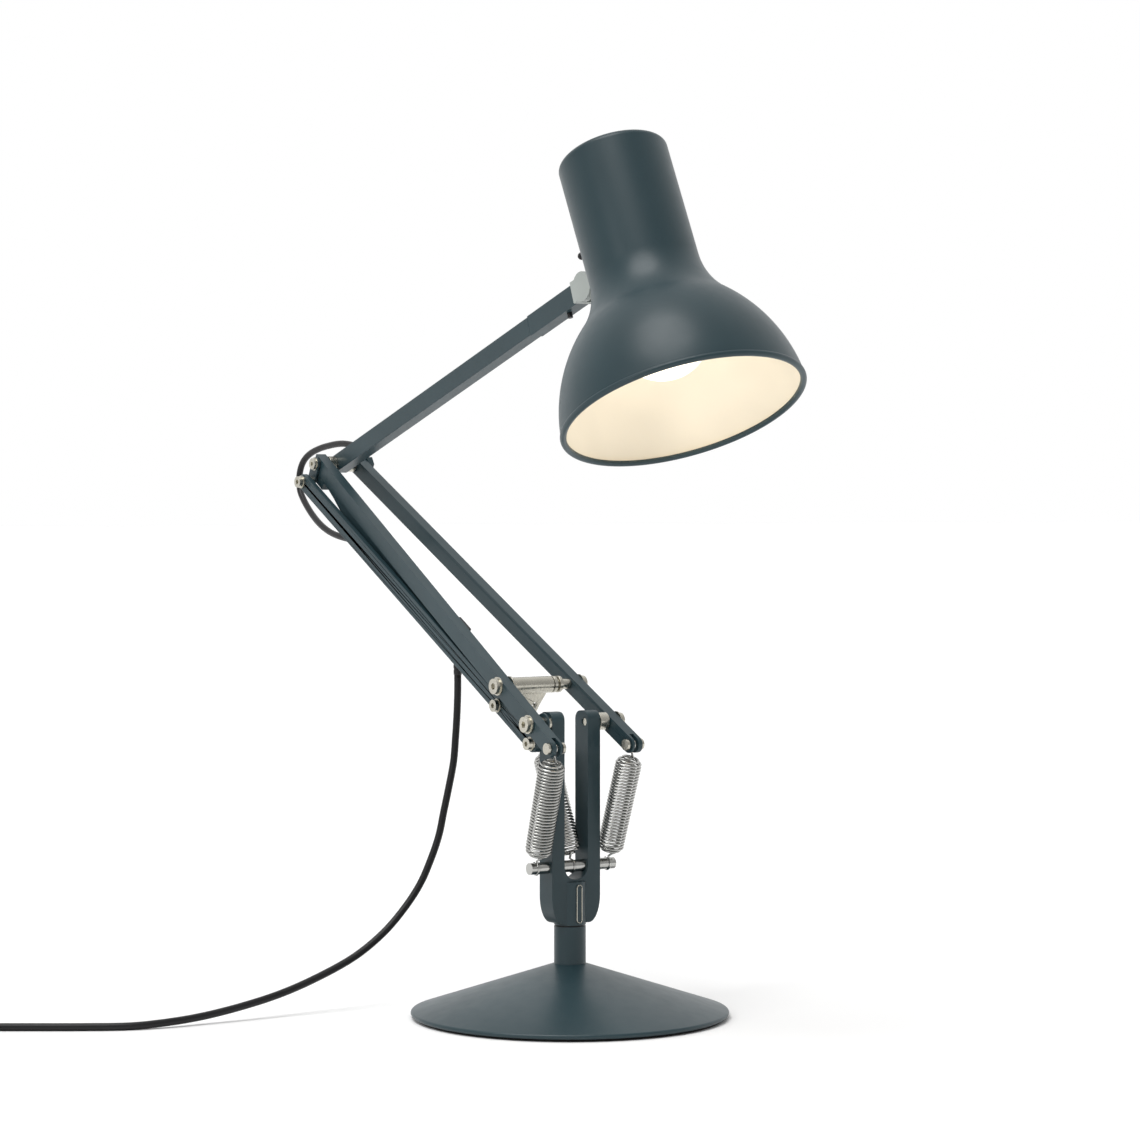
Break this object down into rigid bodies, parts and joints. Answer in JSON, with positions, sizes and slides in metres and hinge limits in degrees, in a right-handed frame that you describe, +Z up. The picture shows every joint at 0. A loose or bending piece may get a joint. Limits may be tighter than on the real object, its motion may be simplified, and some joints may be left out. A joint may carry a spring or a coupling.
{
  "type": "architect desk lamp",
  "caption": "Spring-balanced desk lamp: round weighted base, swivel fork, two-plate lower arm with tie bar, slim upper arm and tilting bell shade.",
  "frame": {"origin": "centre of the base's underside", "axes": "+Z up, +X from the column towards the shade at rest, +Y to the far side of the arm"},
  "size_m": [0.3939, 0.4032, 0.4116],
  "materials": {
    "slate_paint": "satin",
    "nickel": "satin nickel",
    "spring_steel": "bright drawn wire",
    "die_cast": "light grey satin",
    "iron": "raw casting",
    "black_plastic": "matt moulded",
    "nylon": "nylon",
    "pad_rubber": "foam rubber",
    "cord_pvc": "PVC sheath",
    "holder_white": "white thermoplastic",
    "bulb_glass": "opal glass",
    "cap_metal": "rolled"
  },
  "bodies": {
    "base": {"base_cover": "slate_paint", "base_weight": "iron", "base_pad": "pad_rubber", "base_bolt": "spring_steel", "post": "slate_paint", "post_bush": "nylon"},
    "fork": {"fork": "slate_paint", "fork_badge": "nickel", "stem_clip": "spring_steel", "anchor_bar": "spring_steel", "pivot_bolts": "nickel", "pivot_spacers": "nickel", "spring_near": "spring_steel", "spring_far": "spring_steel", "spring_middle": "spring_steel", "cord": "cord_pvc", "cord_coil": "cord_pvc", "cord_tail": "cord_pvc", "cord_tie": "black_plastic", "plug_body": "black_plastic", "plug_pins": "nickel"},
    "lower_arm": {"near_arm": "slate_paint", "cable_cover": "slate_paint", "far_arm": "slate_paint", "cross_tube": "nickel", "cross_bolts": "nickel", "tube_collars": "nickel", "tail_pins": "nickel", "cable_clip": "black_plastic", "lead_gland": "black_plastic", "strain_relief": "black_plastic"},
    "counter_crank": {"counter_crank": "nickel", "counter_screw": "nickel", "pull_hook": "spring_steel"},
    "guide_crank": {"guide_crank": "slate_paint", "guide_screw": "nickel"},
    "tie_bar": {"tie_bar": "slate_paint"},
    "upper_arm": {"elbow_bolt": "nickel", "elbow_nut": "slate_paint", "elbow_spacers": "nickel", "elbow_lever": "slate_paint", "lever_screw": "nickel", "upper_arm": "slate_paint", "arm_end": "slate_paint", "grub_screw": "black_plastic", "elbow_cable": "cord_pvc"},
    "knuckle": {"knuckle_fork": "die_cast", "tilt_bolt": "die_cast"},
    "shade": {"shade_bracket": "die_cast", "bracket_screws": "spring_steel", "shade": "slate_paint", "shade_cap": "slate_paint", "lamp_holder": "holder_white", "bulb": "bulb_glass", "bulb_base": "cap_metal", "switch_body": "black_plastic"},
    "switch_toggle": {"switch_toggle": "black_plastic"}
  },
  "joints": [
    {"name": "fork_swivel", "type": "hinge", "parent": "base", "child": "fork", "pos_m": [0, 0, 0.04], "axis": [0, 0, 1], "range_deg": [-170, 170]},
    {"name": "lower_arm_hinge", "type": "hinge", "parent": "fork", "child": "lower_arm", "pos_m": [0.00205, 0, 0.1388], "axis": [0, 1, 0], "range_deg": [-15, 45], "deforming": ["spring_near", "spring_far", "spring_middle", "cord"]},
    {"name": "elbow_hinge", "type": "hinge", "parent": "lower_arm", "child": "upper_arm", "pos_m": [-0.20931, 0, 0.26231], "axis": [0, 1, 0], "range_deg": [-26, 14], "deforming": ["elbow_cable", "pull_hook"]},
    {"name": "counter_crank_hinge", "type": "hinge", "parent": "lower_arm", "child": "counter_crank", "pos_m": [-0.0261, 0, 0.15525], "axis": [0, 1, 0], "range_deg": [-26, 14]},
    {"name": "guide_crank_hinge", "type": "hinge", "parent": "lower_arm", "child": "guide_crank", "pos_m": [0.00205, 0, 0.1388], "axis": [0, 1, 0], "range_deg": [-26, 14]},
    {"name": "tie_bar_hinge", "type": "hinge", "parent": "counter_crank", "child": "tie_bar", "pos_m": [-0.0303, 0, 0.14585], "axis": [0, 1, 0], "range_deg": [-14, 26]},
    {"name": "head_swivel", "type": "hinge", "parent": "upper_arm", "child": "knuckle", "pos_m": [0.01692, 0, 0.34242], "axis": [0.9426, 0, 0.3338], "range_deg": [-90, 90]},
    {"name": "shade_tilt", "type": "hinge", "parent": "knuckle", "child": "shade", "pos_m": [0.01692, 0, 0.34242], "axis": [0, 1, 0], "range_deg": [-41.5, 58.5]},
    {"name": "switch_flip", "type": "hinge", "parent": "shade", "child": "switch_toggle", "pos_m": [0.02255, 0, 0.36016], "axis": [0, 1, 0], "range_deg": [-24, 0]}
  ],
  "couplings": [
    {"joint": "counter_crank_hinge", "follows": "elbow_hinge", "ratio": 1},
    {"joint": "guide_crank_hinge", "follows": "elbow_hinge", "ratio": 1},
    {"joint": "tie_bar_hinge", "follows": "elbow_hinge", "ratio": -1}
  ]
}
